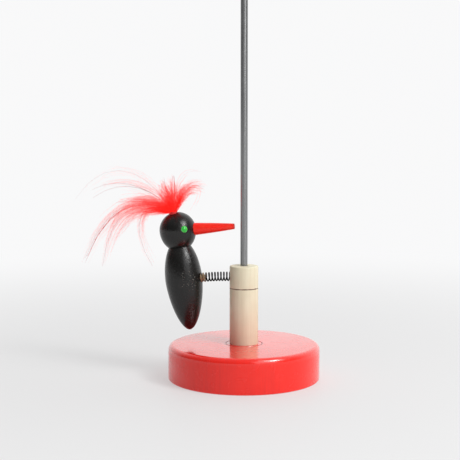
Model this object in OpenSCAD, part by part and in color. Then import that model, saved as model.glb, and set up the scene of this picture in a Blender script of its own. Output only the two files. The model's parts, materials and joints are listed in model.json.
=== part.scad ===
// Pecking woodpecker on a rod: a sprung wooden bird on a loose slider that chatters down a steel rod.
// Millimetres, +Z up. The origin is the centre of the base's underside, and the bird hangs on the -X side.

/* [Base] */
// Diameter of the base disc
base_d = 85; // [60:1:120]
// Thickness of the base disc
base_t = 19.5; // [12:0.5:30]
// Radius of the base's upper edge
base_top_round = 2.9; // [0.5:0.1:5]
// Radius of the base's lower edge
base_foot_round = 0.7; // [0.3:0.1:3]
// Radius of the line turned into the top around the post
scribe_r = 10.3; // [10:0.1:20]
// Width of that line
scribe_w = 0.8; // [0.4:0.1:2]
// Depth of that line
scribe_depth = 0.5; // [0.2:0.1:1]
// Wood left under the rod's blind hole
base_floor = 4; // [2:0.5:8]

/* [Rod] */
// Diameter of the steel rod
rod_d = 4; // [3:0.1:6]
// Length of the steel rod
rod_l = 345; // [220:1:450]
// Diameter of the knob on the rod's upper end
knob_d = 16; // [12:0.5:24]
// How far the rod goes into the knob
knob_grip = 10; // [5:0.5:11]

/* [Post and slider] */
// Diameter of the lower post and of the slider
post_d = 16; // [13:0.5:19]
// Height of the lower post, on which the slider comes to rest
post_h = 31.5; // [24:0.5:60]
// Height of the slider
slider_h = 12.5; // [10:0.5:24]
// Bevel on the slider's upper edge
slider_bevel = 0.7; // [0.2:0.1:1.5]
// Play between the rod and the slider's bore, all round
slider_play = 0.25; // [0.1:0.05:0.5]

/* [Spring] */
// Outside diameter of the spring
spring_od = 5.4; // [4:0.1:7]
// Wire diameter
wire_d = 0.8; // [0.5:0.05:1]
// Distance from one turn to the next
spring_pitch = 1.68; // [1.4:0.02:3]
// Length of spring between the slider and the breast, along its middle
spring_span = 16; // [10:0.5:30]
// How far the spring goes into the slider
slider_socket = 3.5; // [2:0.1:4.5]
// How far the spring goes into the breast
breast_socket = 5; // [3:0.5:8]
// Angle through which the bird's weight bends the spring
droop = 7; // [0:0.5:15]

/* [Bird] */
// Largest radius of the body
body_r = 10.5; // [8:0.1:16]
// Distance from the neck down to the body's widest place
chest_drop = 18.5; // [12:0.5:28]
// Distance from the widest place down to the tail's tip
tail_drop = 28.9; // [18:0.1:40]
// Radius of the neck crease
neck_r = 6.3; // [5:0.1:8]
// Radius of the head
head_r = 10.3; // [8.5:0.1:14]
// Height of the head's centre above the neck crease
head_rise = 9.5; // [8:0.1:14]
// Diameter of the beak where it enters the head
beak_root_d = 7; // [5:0.1:9]
// Diameter of the beak's tip
beak_tip_d = 3.2; // [1.5:0.1:5]
// Distance from the head's centre to the beak's tip
beak_reach = 32.6; // [24:0.1:34]
// Angle by which the beak points below the bird's own level
beak_pitch = 2.2; // [-5:0.1:8]
// Diameter of each eye
eye_d = 3.7; // [2.5:0.1:5]
// How far each eye stands up from the head
eye_dome = 0.9; // [0.4:0.1:1.8]
// Angle from the beak round to each eye
eye_turn = 55.6; // [50:0.1:85]
// Angle of each eye above the head's centre
eye_lift = 4; // [-10:1:20]

/* [Crest] */
// Diameter of the hole that holds the feathers
crest_hole_d = 4.6; // [3.5:0.1:6]
// Depth of that hole
crest_hole_depth = 7; // [4:0.5:9]
// Scale of the plumes
plume_scale = 1; // [0.7:0.05:1.2]

/* [Hidden] */
$fn = 64;
arc_steps = 8;        // straight steps in a turned edge
outline_steps = 16;   // steps in each half of a turned outline
fit = 0.05;           // clearance of a glued or turning fit, all round
socket_play = 0.15;   // clearance around the spring in its sockets
cut = 1;              // how far a cutting tool passes through a face

rod_r = rod_d / 2;
post_r = post_d / 2;
rod_top = base_floor + rod_l;
knob_bottom = rod_top - knob_grip;
slider_z = base_t + post_h;

// The spring leaves the slider level and bends down through the droop angle on a round arc.
spring_z = slider_z + slider_h / 2;
coil_r = (spring_od - wire_d) / 2;
socket_r = spring_od / 2 + socket_play;
socket_end = wire_d / 2 + socket_play;      // depth of a socket past the middle of the wire's end
wire_sides = 6;
steps_per_turn = 14;

// Height of the breast socket below the neck, at the body's widest place.
breast_drop = chest_drop;

neck_dowel_r = 2.5;
neck_dowel_depth = 6;     // how far the dowel goes into the body and into the head
peg_proud = 2;            // length of peg that shows inside the spring
peg_r = coil_r - wire_d / 2 - 0.25;

beak_seat = sqrt(pow(head_r, 2) - pow(beak_root_d / 2, 2)) - 0.3;   // where the cone starts, just inside the head
beak_shank = 5;
beak_tip_round = 0.4;
eye_seat = 0.6;           // depth of the flat that the eye sits on
eye_pin_r = 0.7;
eye_pin_l = 3.5;

crest_back = 1;           // offset of the crest's hole from the head's axis
crest_side = 2;
crest_rim = sqrt(pow(head_r, 2) - pow(crest_back, 2) - pow(crest_side, 2));   // height of the head there
binding_proud = 0.6;
plume_sides = 8;
plume_rings = 12;

// ---- shared geometry ----

// Points on an arc around c, from angle a to angle b.
function arc(c, r, a, b, steps = arc_steps) =
    [for (i = [0 : steps]) let (t = a + (b - a) * i / steps) [c[0] + r * cos(t), c[1] + r * sin(t)]];

function unit(v) = v / norm(v);

function cubic(p, t) = pow(1 - t, 3) * p[0] + 3 * t * pow(1 - t, 2) * p[1]
    + 3 * t * t * (1 - t) * p[2] + pow(t, 3) * p[3];

// A closed skin over rings that all have the same number of points.
module skin(rings) {
    n = len(rings[0]);
    last = len(rings) - 1;
    walls = [for (k = [0 : last - 1], i = [0 : n - 1])
        let (a = k * n + i, b = k * n + (i + 1) % n) each [[a, b + n, b], [a, a + n, b + n]]];
    caps = [[for (i = [0 : n - 1]) i], [for (i = [n - 1 : -1 : 0]) last * n + i]];
    polyhedron([for (r = rings) each r], concat(walls, caps));
}

// ---- spring line: s is the distance from the slider's face, along the middle of the spring ----

bend_r = droop > 0 ? spring_span * 180 / (PI * droop) : 1e6;
function spring_turn(s) = max(0, min(s, spring_span)) * droop / spring_span;
function spring_dir(s) = let (a = spring_turn(s)) [-cos(a), 0, -sin(a)];
function spring_up(s) = let (a = spring_turn(s)) [-sin(a), 0, cos(a)];
function spring_mid(s) = let (a = spring_turn(s), past = s - max(0, min(s, spring_span)))
    [-post_r - bend_r * sin(a), 0, spring_z - bend_r * (1 - cos(a))] + past * spring_dir(s);

function wire_mid(s) = let (a = 360 * s / spring_pitch)
    spring_mid(s) + coil_r * (cos(a) * spring_up(s) + sin(a) * [0, 1, 0]);
function wire_ring(s) = let (
        ds = 0.01,
        t = unit(wire_mid(s + ds) - wire_mid(s - ds)),
        out = unit(wire_mid(s) - spring_mid(s)),
        side = unit(cross(t, out)))
    [for (i = [0 : wire_sides - 1]) let (a = 360 * i / wire_sides)
        wire_mid(s) + wire_d / 2 * (cos(a) * unit(cross(side, t)) + sin(a) * side)];

// ---- bird frame: origin in the middle of the neck crease, +Z up the bird, +X out of the breast ----

module in_bird() {
    translate(spring_mid(spring_span)) rotate([0, -droop, 0]) translate([-body_r, 0, breast_drop]) children();
}

module at_head() {
    translate([0, 0, head_rise]) children();
}

// +Z runs out along the beak.
module at_beak() {
    at_head() rotate([0, 90 + beak_pitch, 0]) children();
}

// +Z runs out through the eye. side is 1 on the bird's left and -1 on its right.
module at_eye(side) {
    at_head() rotate([0, 0, side * eye_turn]) rotate([0, 90 - eye_lift, 0]) children();
}

// Origin in the mouth of the crest's hole.
module at_crest() {
    at_head() translate([-crest_back, -crest_side, crest_rim]) children();
}

// Body outline: an ellipse from the neck to the widest place, then a fuller curve down to the tail.
neck_t = sqrt(1 - pow(neck_r / body_r, 2));
tail_outline = [for (i = [0 : outline_steps]) let (t = 1 - pow(1 - i / outline_steps, 2))
    [body_r * pow(max(0, 1 - pow(t, 1.6)), 0.55), -chest_drop - tail_drop * t]];
shoulder_outline = [for (i = [0 : outline_steps - 1]) let (t = neck_t * (1 - i / outline_steps))
    [body_r * sqrt(1 - t * t), -chest_drop * (1 - t / neck_t)]];

// Head outline: a tall half ellipse under the centre and a half circle over it.
jaw_h = head_rise / sqrt(1 - pow(neck_r / head_r, 2));
jaw_outline = [for (i = [0 : outline_steps - 1]) let (z = -head_rise * (1 - i / outline_steps))
    [head_r * sqrt(1 - pow(z / jaw_h, 2)), head_rise + z]];

// ---- stand ----

module base_disc() {
    r = base_d / 2;
    color([0.82, 0.08, 0.09]) difference() {
        rotate_extrude() polygon(concat(
            [[0, 0]],
            arc([r - base_foot_round, base_foot_round], base_foot_round, -90, 0),
            arc([r - base_top_round, base_t - base_top_round], base_top_round, 0, 90),
            [[0, base_t]]));
        translate([0, 0, base_floor]) cylinder(r = rod_r + fit, h = base_t);
        rotate_extrude() translate([scribe_r, base_t])
            polygon([[-scribe_w / 2, 0], [0, -scribe_depth], [scribe_w / 2, 0], [0, cut]]);
    }
}

module stop_post() {
    color([0.86, 0.79, 0.68]) translate([0, 0, base_t]) difference() {
        cylinder(r = post_r, h = post_h);
        translate([0, 0, -cut]) cylinder(r = rod_r + fit, h = post_h + 2 * cut);
    }
}

module rod() {
    color([0.62, 0.63, 0.64]) translate([0, 0, base_floor]) cylinder(r = rod_r, h = rod_l);
}

module top_knob() {
    r = knob_d / 2;
    flat = rod_r + 1.5;                       // radius of the flat under the ball
    centre = knob_bottom + sqrt(r * r - flat * flat);
    color([0.82, 0.08, 0.09]) difference() {
        translate([0, 0, centre]) sphere(r = r);
        translate([0, 0, knob_bottom - r]) cylinder(r = r, h = r);
        translate([0, 0, knob_bottom - cut]) cylinder(r = rod_r + fit, h = knob_grip + fit + cut);
    }
}

// ---- slider and spring ----

module slider() {
    color([0.88, 0.81, 0.70]) difference() {
        translate([0, 0, slider_z]) union() {
            cylinder(r = post_r, h = slider_h - slider_bevel);
            translate([0, 0, slider_h - slider_bevel])
                cylinder(r1 = post_r, r2 = post_r - slider_bevel, h = slider_bevel);
        }
        translate([0, 0, slider_z - cut]) cylinder(r = rod_r + slider_play, h = slider_h + 2 * cut);
        translate([-post_r - cut, 0, spring_z]) rotate([0, 90, 0])
            cylinder(r = socket_r, h = cut + slider_socket + socket_end);
    }
}

module spring() {
    turns = (slider_socket + spring_span + breast_socket) / spring_pitch;
    steps = ceil(turns * steps_per_turn);
    color([0.13, 0.12, 0.14]) skin([for (k = [0 : steps])
        wire_ring(-slider_socket + turns * spring_pitch * k / steps)]);
}

// ---- bird ----

module bird_body() {
    color([0.07, 0.07, 0.08]) in_bird() difference() {
        rotate_extrude() polygon(concat([[0, 0]], shoulder_outline, tail_outline));
        translate([0, 0, -neck_dowel_depth]) cylinder(r = neck_dowel_r + fit, h = neck_dowel_depth + cut);
        translate([body_r - breast_socket - socket_end, 0, -breast_drop]) rotate([0, 90, 0])
            cylinder(r = socket_r, h = breast_socket + socket_end + cut);
    }
}

module bird_head() {
    color([0.07, 0.07, 0.08]) in_bird() difference() {
        rotate_extrude() polygon(concat([[0, 0]], jaw_outline,
            arc([0, head_rise], head_r, 0, 90, outline_steps)));
        translate([0, 0, -cut]) cylinder(r = neck_dowel_r + fit, h = neck_dowel_depth + cut);
        at_beak() translate([0, 0, beak_seat - beak_shank])
            cylinder(r = beak_root_d / 2 + fit, h = beak_shank + head_r);
        for (side = [-1, 1]) at_eye(side) {
            translate([0, 0, head_r - eye_seat]) cylinder(r = eye_d / 2 + fit, h = eye_seat + cut);
            translate([0, 0, head_r - eye_seat - eye_pin_l]) cylinder(r = eye_pin_r + fit, h = eye_pin_l + cut);
        }
        at_crest() translate([0, 0, -crest_hole_depth]) cylinder(d = crest_hole_d, h = crest_hole_depth + cut);
    }
}

module neck_dowel() {
    color([0.86, 0.79, 0.68]) in_bird() translate([0, 0, fit - neck_dowel_depth])
        cylinder(r = neck_dowel_r, h = 2 * (neck_dowel_depth - fit));
}

module beak() {
    tip_r = beak_tip_d / 2;
    root_r = beak_root_d / 2;
    cone = beak_reach - beak_seat;
    color([0.86, 0.12, 0.08]) in_bird() at_beak() rotate_extrude() polygon(concat(
        [[0, beak_seat - beak_shank + fit], [root_r - fit, beak_seat - beak_shank + fit],
         [root_r - fit, beak_seat], [root_r, beak_seat]],
        arc([tip_r - beak_tip_round, beak_seat + cone - beak_tip_round], beak_tip_round, 0, 90),
        [[0, beak_seat + cone]]));
}

module eye(side) {
    r = eye_d / 2;
    rim = sqrt(pow(head_r, 2) - r * r);                  // distance of the eye's edge from the head's centre
    ball_r = (r * r + eye_dome * eye_dome) / (2 * eye_dome);
    seat = head_r - eye_seat;
    edge = asin(r / ball_r);
    color([0.15, 0.72, 0.25]) in_bird() at_eye(side) rotate_extrude() polygon(concat(
        [[0, seat - eye_pin_l + fit], [eye_pin_r, seat - eye_pin_l + fit], [eye_pin_r, seat], [r, seat]],
        arc([0, rim + eye_dome - ball_r], ball_r, 90 - edge, 90)));
}

module eye_left() {
    eye(1);
}

module eye_right() {
    eye(-1);
}

module breast_peg() {
    color([0.72, 0.52, 0.28]) in_bird() translate([body_r - breast_socket - socket_end, 0, -breast_drop])
        rotate([0, 90, 0]) cylinder(r = peg_r, h = breast_socket + socket_end + peg_proud);
}

// ---- crest ----

module crest_binding() {
    color([0.75, 0.10, 0.12]) in_bird() at_crest() translate([0, 0, -crest_hole_depth])
        cylinder(r = crest_hole_d / 2 - fit, h = crest_hole_depth + binding_proud);
}

// A tuft of feather. Its middle line starts at foot on the binding, sets off towards lift, bends round knee
// and ends at tip. half_w is half its width in the plane of its bend, half_t half its thickness across it.
module plume(foot, lift, knee, tip, half_w, half_t) {
    p = [foot, foot + plume_scale * lift, foot + plume_scale * knee, foot + plume_scale * tip];
    across = unit([-tip[1], tip[0], 0]);
    foot_r = 0.4;
    tip_r = 0.6;
    rings = [for (k = [0 : plume_rings])
        let (
            t = k / plume_rings,
            dir = k == 0 ? [0, 0, 1] : unit(cubic(p, t + 0.01) - cubic(p, t - 0.01)),
            wide = unit(cross(across, dir)),
            thin = unit(cross(dir, wide)),
            swell = pow(sin(180 * pow(t, 1.1)), 2),
            base_r = foot_r + (tip_r - foot_r) * t,
            w = base_r + (half_w - base_r) * swell,
            h = base_r + (half_t - base_r) * swell)
        [for (i = [0 : plume_sides - 1]) let (a = 360 * i / plume_sides)
            cubic(p, t) + w * cos(a) * wide + h * sin(a) * thin]];
    color([0.95, 0.30, 0.30]) in_bird() at_crest() translate([0, 0, binding_proud]) skin(rings);
}

module plume_rear_low() {
    plume([-1.7, 0.2, 0], [-8, 1, 7], [-33, 2, 14], [-49, 3, -26], 4, 2.5);
}

module plume_rear_high() {
    plume([-1.2, 1.2, 0], [-6, 4, 12], [-27, 12, 26], [-51, 16, 15], 3.5, 2.5);
}

module plume_rear_top() {
    plume([-0.9, -1, 0], [-4, -4, 19], [-27, -12, 44], [-53, -15, 9], 3, 2.5);
}

module plume_upright_rear() {
    plume([-0.2, 0.3, 0], [-1, 1, 7], [-3, 3, 12], [-6, 4, 18], 2.6, 2);
}

module plume_upright_front() {
    plume([0.5, -0.6, 0], [1, -1, 8], [2, -2, 14], [3, -3, 21], 2, 1.8);
}

module plume_front_curl() {
    plume([1.8, 0, 0], [5, 1, 10], [9, 2, 17], [18, 2, 10], 2.2, 2);
}

module plume_nape() {
    plume([-1.2, -1.6, 0], [-12, -7, 9], [-21, -13, -2], [-10, -11, -28], 1.8, 1.5);
}

module plume_side_left() {
    plume([0.7, 1.7, 0], [1, 6, 6], [2, 13, 15], [3, 21, 12], 2.4, 2);
}

module plume_side_right() {
    plume([0.8, -1.8, 0], [2, -6, 5], [3, -12, 13], [4, -20, 9], 2.4, 2);
}

base_disc();
stop_post();
rod();
top_knob();
slider();
spring();
bird_body();
bird_head();
neck_dowel();
beak();
eye_left();
eye_right();
breast_peg();
crest_binding();
plume_rear_low();
plume_rear_high();
plume_rear_top();
plume_upright_rear();
plume_upright_front();
plume_front_curl();
plume_nape();
plume_side_left();
plume_side_right();
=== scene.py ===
"""Pecking woodpecker on a rod: the finished pieces and materials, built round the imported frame."""

import json
import math

import bmesh
import bpy
import numpy as np
from bpy.props import FloatProperty, FloatVectorProperty, IntProperty, PointerProperty
from mathutils import Matrix, Vector


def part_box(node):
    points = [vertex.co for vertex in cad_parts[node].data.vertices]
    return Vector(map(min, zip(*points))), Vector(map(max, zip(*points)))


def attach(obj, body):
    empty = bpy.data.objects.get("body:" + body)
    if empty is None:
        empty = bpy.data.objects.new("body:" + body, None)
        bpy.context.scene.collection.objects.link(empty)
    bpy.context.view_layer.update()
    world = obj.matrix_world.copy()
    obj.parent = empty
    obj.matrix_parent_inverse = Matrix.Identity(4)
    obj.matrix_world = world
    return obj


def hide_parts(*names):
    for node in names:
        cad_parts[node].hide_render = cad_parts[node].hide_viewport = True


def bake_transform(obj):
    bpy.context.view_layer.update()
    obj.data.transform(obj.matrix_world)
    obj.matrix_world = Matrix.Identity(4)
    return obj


bl_info = {
    "name": "Pecking Woodpecker",
    "version": (1, 0, 0),
    "blender": (4, 5, 0),
    "location": "View3D > Sidebar > Woodpecker",
    "description": "Builds a pecking woodpecker toy: turned wood, spring steel and a feather crest",
    "category": "Object",
}

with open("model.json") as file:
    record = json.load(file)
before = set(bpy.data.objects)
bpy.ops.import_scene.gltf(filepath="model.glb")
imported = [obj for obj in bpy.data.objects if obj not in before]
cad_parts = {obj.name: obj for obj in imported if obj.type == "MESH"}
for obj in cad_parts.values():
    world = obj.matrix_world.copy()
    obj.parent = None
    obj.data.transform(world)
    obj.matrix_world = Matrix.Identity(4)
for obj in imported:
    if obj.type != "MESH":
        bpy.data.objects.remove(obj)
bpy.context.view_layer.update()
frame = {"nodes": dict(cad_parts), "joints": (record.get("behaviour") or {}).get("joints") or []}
MM = 0.001
SLIDER_LOW, SLIDER_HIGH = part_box("slider")


# ---- properties ----


def length(name, description, default):
    """A size that the user can change, in metres."""
    return FloatProperty(
        name=name, description=description, default=default, min=0.0, precision=5, unit="LENGTH"
    )


def angle(name, description, degrees):
    """An angle that the user can change."""
    return FloatProperty(
        name=name, description=description, default=math.radians(degrees), subtype="ANGLE"
    )


def colour(name, description, default):
    """A colour that the user can change."""
    return FloatVectorProperty(
        name=name, description=description, default=default, size=3, min=0.0, max=1.0, subtype="COLOR"
    )


def power(name, description, watts):
    """The power of a light, which the user can change."""
    return FloatProperty(name=name, description=description, default=watts, min=0.0, unit="POWER")


class WOODPECKER_PG_stand(bpy.types.PropertyGroup):
    """Sizes and colours of the base, the post, the rod and its knob."""

    top_round: length("Top edge", "Radius of the base's upper edge", 2.9 * MM)
    foot_round: length("Foot edge", "Radius of the base's lower edge", 0.7 * MM)
    scribe_radius: length("Scribed line", "Radius of the line turned round the post", 10.3 * MM)
    scribe_width: length("Line width", "Width of the turned line", 0.8 * MM)
    scribe_depth: length("Line depth", "Depth of the turned line", 0.5 * MM)
    soft_edge: length("Soft edge", "Rounding of the post's and the slider's other edges", 0.15 * MM)
    slider_bevel: length("Slider edge", "Radius of the slider's upper edge", 0.7 * MM)
    slider_play: length("Slider play", "Gap between the slider's bore and the rod", 0.25 * MM)
    fit: length("Fit", "Gap all round in a glued or turned fit", 0.05 * MM)
    stain: colour("Stain", "Red stain on the base and the knob", (0.93, 0.014, 0.005))
    stain_dark: colour("Dark stain", "Stain where it soaks into the grain", (0.76, 0.008, 0.004))
    wood: colour("Wood", "Pale turned wood", (0.775, 0.73, 0.55))
    wood_dark: colour("Wood grain", "Darker grain of the pale wood", (0.62, 0.54, 0.37))
    steel: colour("Rod steel", "Drawn steel of the rod", (0.34, 0.343, 0.347))


class WOODPECKER_PG_spring(bpy.types.PropertyGroup):
    """Sizes and colours of the coil spring."""

    outer: length("Coil", "Outer diameter of the coil", 5.4 * MM)
    wire: length("Wire", "Diameter of the wire", 0.8 * MM)
    pitch: length("Pitch", "Distance from turn to turn", 1.68 * MM)
    span: length("Span", "Length of spring between the slider and the breast", 16.0 * MM)
    slider_socket: length("Slider socket", "Length of spring inside the slider", 3.5 * MM)
    breast_socket: length("Breast socket", "Length of spring inside the breast", 5.0 * MM)
    socket_play: length("Socket play", "Gap round the spring in its sockets", 0.15 * MM)
    peg_proud: length("Peg", "Length of the glue plug that shows inside the spring", 2.0 * MM)
    droop: angle("Droop", "How far the spring bends down under the bird", 7.0)
    steel: colour("Spring steel", "Dark oiled wire", (0.007, 0.006, 0.009))
    glue: colour("Glue", "Old glue and bare wood where the spring enters the breast", (0.30, 0.20, 0.115))


class WOODPECKER_PG_bird(bpy.types.PropertyGroup):
    """Sizes and colours of the bird's body, head, beak and eyes."""

    body_radius: length("Body", "Largest radius of the body", 10.5 * MM)
    chest_drop: length("Chest", "Height of the body from its widest place to the neck", 18.5 * MM)
    tail_drop: length("Tail", "Height of the body from its widest place to the tail", 28.9 * MM)
    neck_radius: length("Neck", "Radius of the crease between body and head", 6.3 * MM)
    head_radius: length("Head", "Radius of the head", 10.3 * MM)
    head_rise: length("Head height", "Height of the head's centre over the neck", 9.5 * MM)
    dowel: length("Dowel", "Diameter of the dowel in the neck", 5.0 * MM)
    dowel_hole: length("Dowel hole", "Depth of the dowel's hole in the body and in the head", 6.0 * MM)
    beak_root: length("Beak root", "Diameter of the beak at the head", 7.0 * MM)
    beak_tip: length("Beak tip", "Diameter of the beak's tip", 3.2 * MM)
    beak_reach: length("Beak reach", "Distance from the head's centre to the beak's tip", 32.6 * MM)
    beak_pitch: angle("Beak pitch", "How far the beak points below level, in the bird's own frame", 2.2)
    eye_width: length("Eye", "Diameter of an eye", 3.7 * MM)
    eye_dome: length("Eye dome", "How far an eye stands proud", 0.9 * MM)
    eye_sunk: length("Eye seat", "How deep an eye's flat back lies in the head", 0.6 * MM)
    eye_pin: length("Eye pin", "Diameter of an eye's pin", 1.4 * MM)
    eye_pin_length: length("Pin length", "Depth of the hole for an eye's pin", 3.5 * MM)
    eye_turn: angle("Eye turn", "Angle from the beak round to an eye", 55.6)
    eye_lift: angle("Eye lift", "Angle of an eye above the head's middle", 4.0)
    lacquer: colour("Lacquer", "Black lacquer", (0.0045, 0.0044, 0.0040))
    lacquer_worn: colour("Worn lacquer", "Dust and bare wood in the chips", (0.40, 0.37, 0.32))
    beak: colour("Beak", "Red of the beak", (1.0, 0.020, 0.009))
    beak_dark: colour("Beak grain", "Darker red in the beak's grain", (0.72, 0.012, 0.008))
    eye: colour("Eye", "Green of the eyes", (0.010, 0.46, 0.030))
    # Painted highlight: this paler green stands in for the sheen round the rim of each domed eye.
    eye_rim_highlight: colour("Eye rim", "Paler green at the rim of the eyes", (0.085, 0.62, 0.11))


class WOODPECKER_PG_crest(bpy.types.PropertyGroup):
    """Sizes and colours of the feather crest."""

    hole_back: length("Back", "How far the crest's hole lies behind the head's axis", 1.0 * MM)
    hole_side: length("Side", "How far the crest's hole lies to the bird's right", 2.0 * MM)
    binding_proud: length("Binding", "Height of the binding over the head", 0.6 * MM)
    barb: length("Barb", "Thickness of a barb at its foot", 0.14 * MM)
    quill: length("Quill", "Thickness of a quill at its foot", 0.34 * MM)
    down: length("Down", "Length of the down on a barb", 2.3 * MM)
    down_width: length("Down width", "Width of one hair of down at its foot", 0.06 * MM)
    # Painted glow: how strongly the barbs emit their own colour, standing in for light shining through
    # them.
    glow: FloatProperty(name="Glow", description="How much light shines through a barb", default=0.42)
    seed: IntProperty(name="Seed", description="Seed of the feathers' spread", default=7)
    core: colour("Core", "Dyed feather near its foot", (1.0, 0.026, 0.018))
    tip: colour("Tip", "Dyed feather at its tip", (1.0, 0.27, 0.26))
    shade: colour("Quill", "Quills and the darkest barbs", (0.36, 0.016, 0.020))


class WOODPECKER_PG_studio(bpy.types.PropertyGroup):
    """Camera, floor and lights."""

    distance: length("Distance", "Camera's distance from the rod", 0.610)
    height: length("Height", "Camera's height over the floor", 0.1444)
    aside: length("Aside", "How far the rod lies to the right of the view", 7.8 * MM)
    swing: angle("Swing", "How far the camera stands round to the right of the toy's side", 10.0)
    tilt: angle("Tilt", "How far the camera looks down", 5.7)
    lens: FloatProperty(name="Lens", description="Focal length in millimetres", default=86.1)
    key_power: power("Key", "Power of the highest soft light", 5.0)
    window_power: power("Window", "Power of the soft light at the right", 5.4)
    front_power: power("Front", "Power of the soft light in front", 4.0)
    floor: colour("Floor", "Pale floor", (0.64, 0.64, 0.64))
    backdrop: colour("Backdrop", "White of the surroundings", (0.945, 0.945, 0.95))


# ---- mesh helpers ----


def arc(centre, radius, start, end, steps):
    """Points (radius, height) on an arc, from one angle in degrees to another."""
    points = []
    for i in range(steps + 1):
        turn_to = math.radians(start + (end - start) * i / steps)
        points.append((centre[0] + radius * math.cos(turn_to), centre[1] + radius * math.sin(turn_to)))
    return points


def turned(outline, place=None, closed=False, steps=96):
    """A shape from the lathe: an outline of (radius, height) points spun round +Z, then placed."""
    bm = bmesh.new()
    verts = [bm.verts.new((r, 0.0, z)) for r, z in outline]
    edges = [bm.edges.new(pair) for pair in zip(verts, verts[1:])]
    if closed:
        edges.append(bm.edges.new((verts[-1], verts[0])))
    bmesh.ops.spin(
        bm, geom=verts + edges, cent=(0, 0, 0), axis=(0, 0, 1), angle=math.tau, steps=steps, use_merge=True
    )
    bmesh.ops.remove_doubles(bm, verts=bm.verts, dist=1e-7)
    bmesh.ops.dissolve_degenerate(bm, edges=bm.edges, dist=1e-7)
    bmesh.ops.recalc_face_normals(bm, faces=bm.faces)
    if place is not None:
        bmesh.ops.transform(bm, matrix=place, verts=bm.verts)
    return bm


def new_piece(bm, name):
    """An object at the origin that holds the bmesh."""
    mesh = bpy.data.meshes.new(name)
    bm.to_mesh(mesh)
    bm.free()
    piece = bpy.data.objects.new(name, mesh)
    bpy.context.scene.collection.objects.link(piece)
    return piece


def drill(piece, cutter_shape):
    """Cuts a closed bmesh out of the piece."""
    cutter = new_piece(cutter_shape, "cutter")
    cut = piece.modifiers.new("cut", "BOOLEAN")
    cut.operation = "DIFFERENCE"
    cut.solver = "EXACT"
    cut.object = cutter
    graph = bpy.context.evaluated_depsgraph_get()
    drilled = bpy.data.meshes.new_from_object(piece.evaluated_get(graph))
    piece.modifiers.clear()
    piece.data = drilled
    bpy.data.objects.remove(cutter)


def smooth(piece, crease=35.0):
    """Smooth shading, with a crease where faces meet at more than this angle."""
    mesh = piece.data
    mesh.polygons.foreach_set("use_smooth", [True] * len(mesh.polygons))
    mesh.set_sharp_from_angle(angle=math.radians(crease))


def paint_node(name, material):
    """Gives a CAD node that stays in the picture its material."""
    for material_slot in frame["nodes"][name].material_slots:
        material_slot.material = material


def dress(piece, material, nodes):
    """Gives the piece its material, and hides the CAD nodes that it stands for."""
    piece.data.materials.clear()
    piece.data.materials.append(material)
    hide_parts(*nodes)


# ---- places ----


def spring_turn(s):
    """Angle that the spring has bent down at the distance s from the slider's face."""
    sizes = bpy.context.scene.woodpecker_spring
    return max(0.0, min(s, sizes.span)) * sizes.droop / sizes.span


def spring_up(s):
    """Direction that is up for the spring's own cross-section."""
    bend = spring_turn(s)
    return Vector((-math.sin(bend), 0.0, math.cos(bend)))


def spring_middle(s):
    """Point on the spring's middle line at the distance s from the slider's face."""
    sizes = bpy.context.scene.woodpecker_spring
    bend = spring_turn(s)
    bend_radius = sizes.span / sizes.droop
    past = s - max(0.0, min(s, sizes.span))
    along = Vector((-math.cos(bend), 0.0, -math.sin(bend)))
    start = Vector((SLIDER_LOW.x, 0.0, (SLIDER_LOW.z + SLIDER_HIGH.z) / 2))
    return start + Vector((-math.sin(bend), 0.0, math.cos(bend) - 1.0)) * bend_radius + along * past


def bird_place():
    """Matrix of the bird's frame: origin in the neck crease, +Z up the bird, +X out of the breast."""
    bird = bpy.context.scene.woodpecker_bird
    spring = bpy.context.scene.woodpecker_spring
    hang = Matrix.Translation(spring_middle(spring.span)) @ Matrix.Rotation(-spring.droop, 4, "Y")
    return hang @ Matrix.Translation((-bird.body_radius, 0.0, bird.chest_drop))


def head_place():
    """Matrix of the head's centre."""
    return bird_place() @ Matrix.Translation((0.0, 0.0, bpy.context.scene.woodpecker_bird.head_rise))


def beak_place():
    """Matrix of the beak: +Z runs out along it from the head's centre."""
    pitch = bpy.context.scene.woodpecker_bird.beak_pitch
    return head_place() @ Matrix.Rotation(math.radians(90) + pitch, 4, "Y")


def eye_place(side):
    """Matrix of an eye: +Z runs out through it. side is 1 on the bird's left and -1 on its right."""
    bird = bpy.context.scene.woodpecker_bird
    look = Matrix.Rotation(side * bird.eye_turn, 4, "Z")
    return head_place() @ look @ Matrix.Rotation(math.radians(90) - bird.eye_lift, 4, "Y")


def breast_place(depth):
    """Matrix in the breast's socket, that far behind its mouth: +Z runs out of the breast."""
    bird = bpy.context.scene.woodpecker_bird
    socket = Matrix.Translation((bird.body_radius - depth, 0.0, -bird.chest_drop))
    return bird_place() @ socket @ Matrix.Rotation(math.radians(90), 4, "Y")


def crest_place():
    """Matrix of the crest: its origin lies in the middle of the binding's top."""
    bird = bpy.context.scene.woodpecker_bird
    crest = bpy.context.scene.woodpecker_crest
    rim = math.sqrt(bird.head_radius**2 - crest.hole_back**2 - crest.hole_side**2)
    mouth = (-crest.hole_back, -crest.hole_side, rim + crest.binding_proud)
    return head_place() @ Matrix.Translation(mouth)


# ---- shader helpers ----


def rgba(values):
    """A colour with its alpha."""
    return (*values, 1.0)


def plug(tree, made, inputs):
    """Fills a node's inputs, given by name or number, with values or with sockets to link from."""
    for key, value in inputs.items():
        if isinstance(value, bpy.types.NodeSocket):
            tree.links.new(value, made.inputs[key])
        else:
            made.inputs[key].default_value = value
    return made


def add(tree, kind, inputs=None, **settings):
    """Adds a node with its settings and its inputs."""
    made = tree.nodes.new(kind)
    for name, value in settings.items():
        setattr(made, name, value)
    return plug(tree, made, inputs or {})


def maths(tree, operation, a, b=0.0, clamp=False):
    """Output of a Math node."""
    return add(tree, "ShaderNodeMath", {0: a, 1: b}, operation=operation, use_clamp=clamp).outputs[0]


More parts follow.
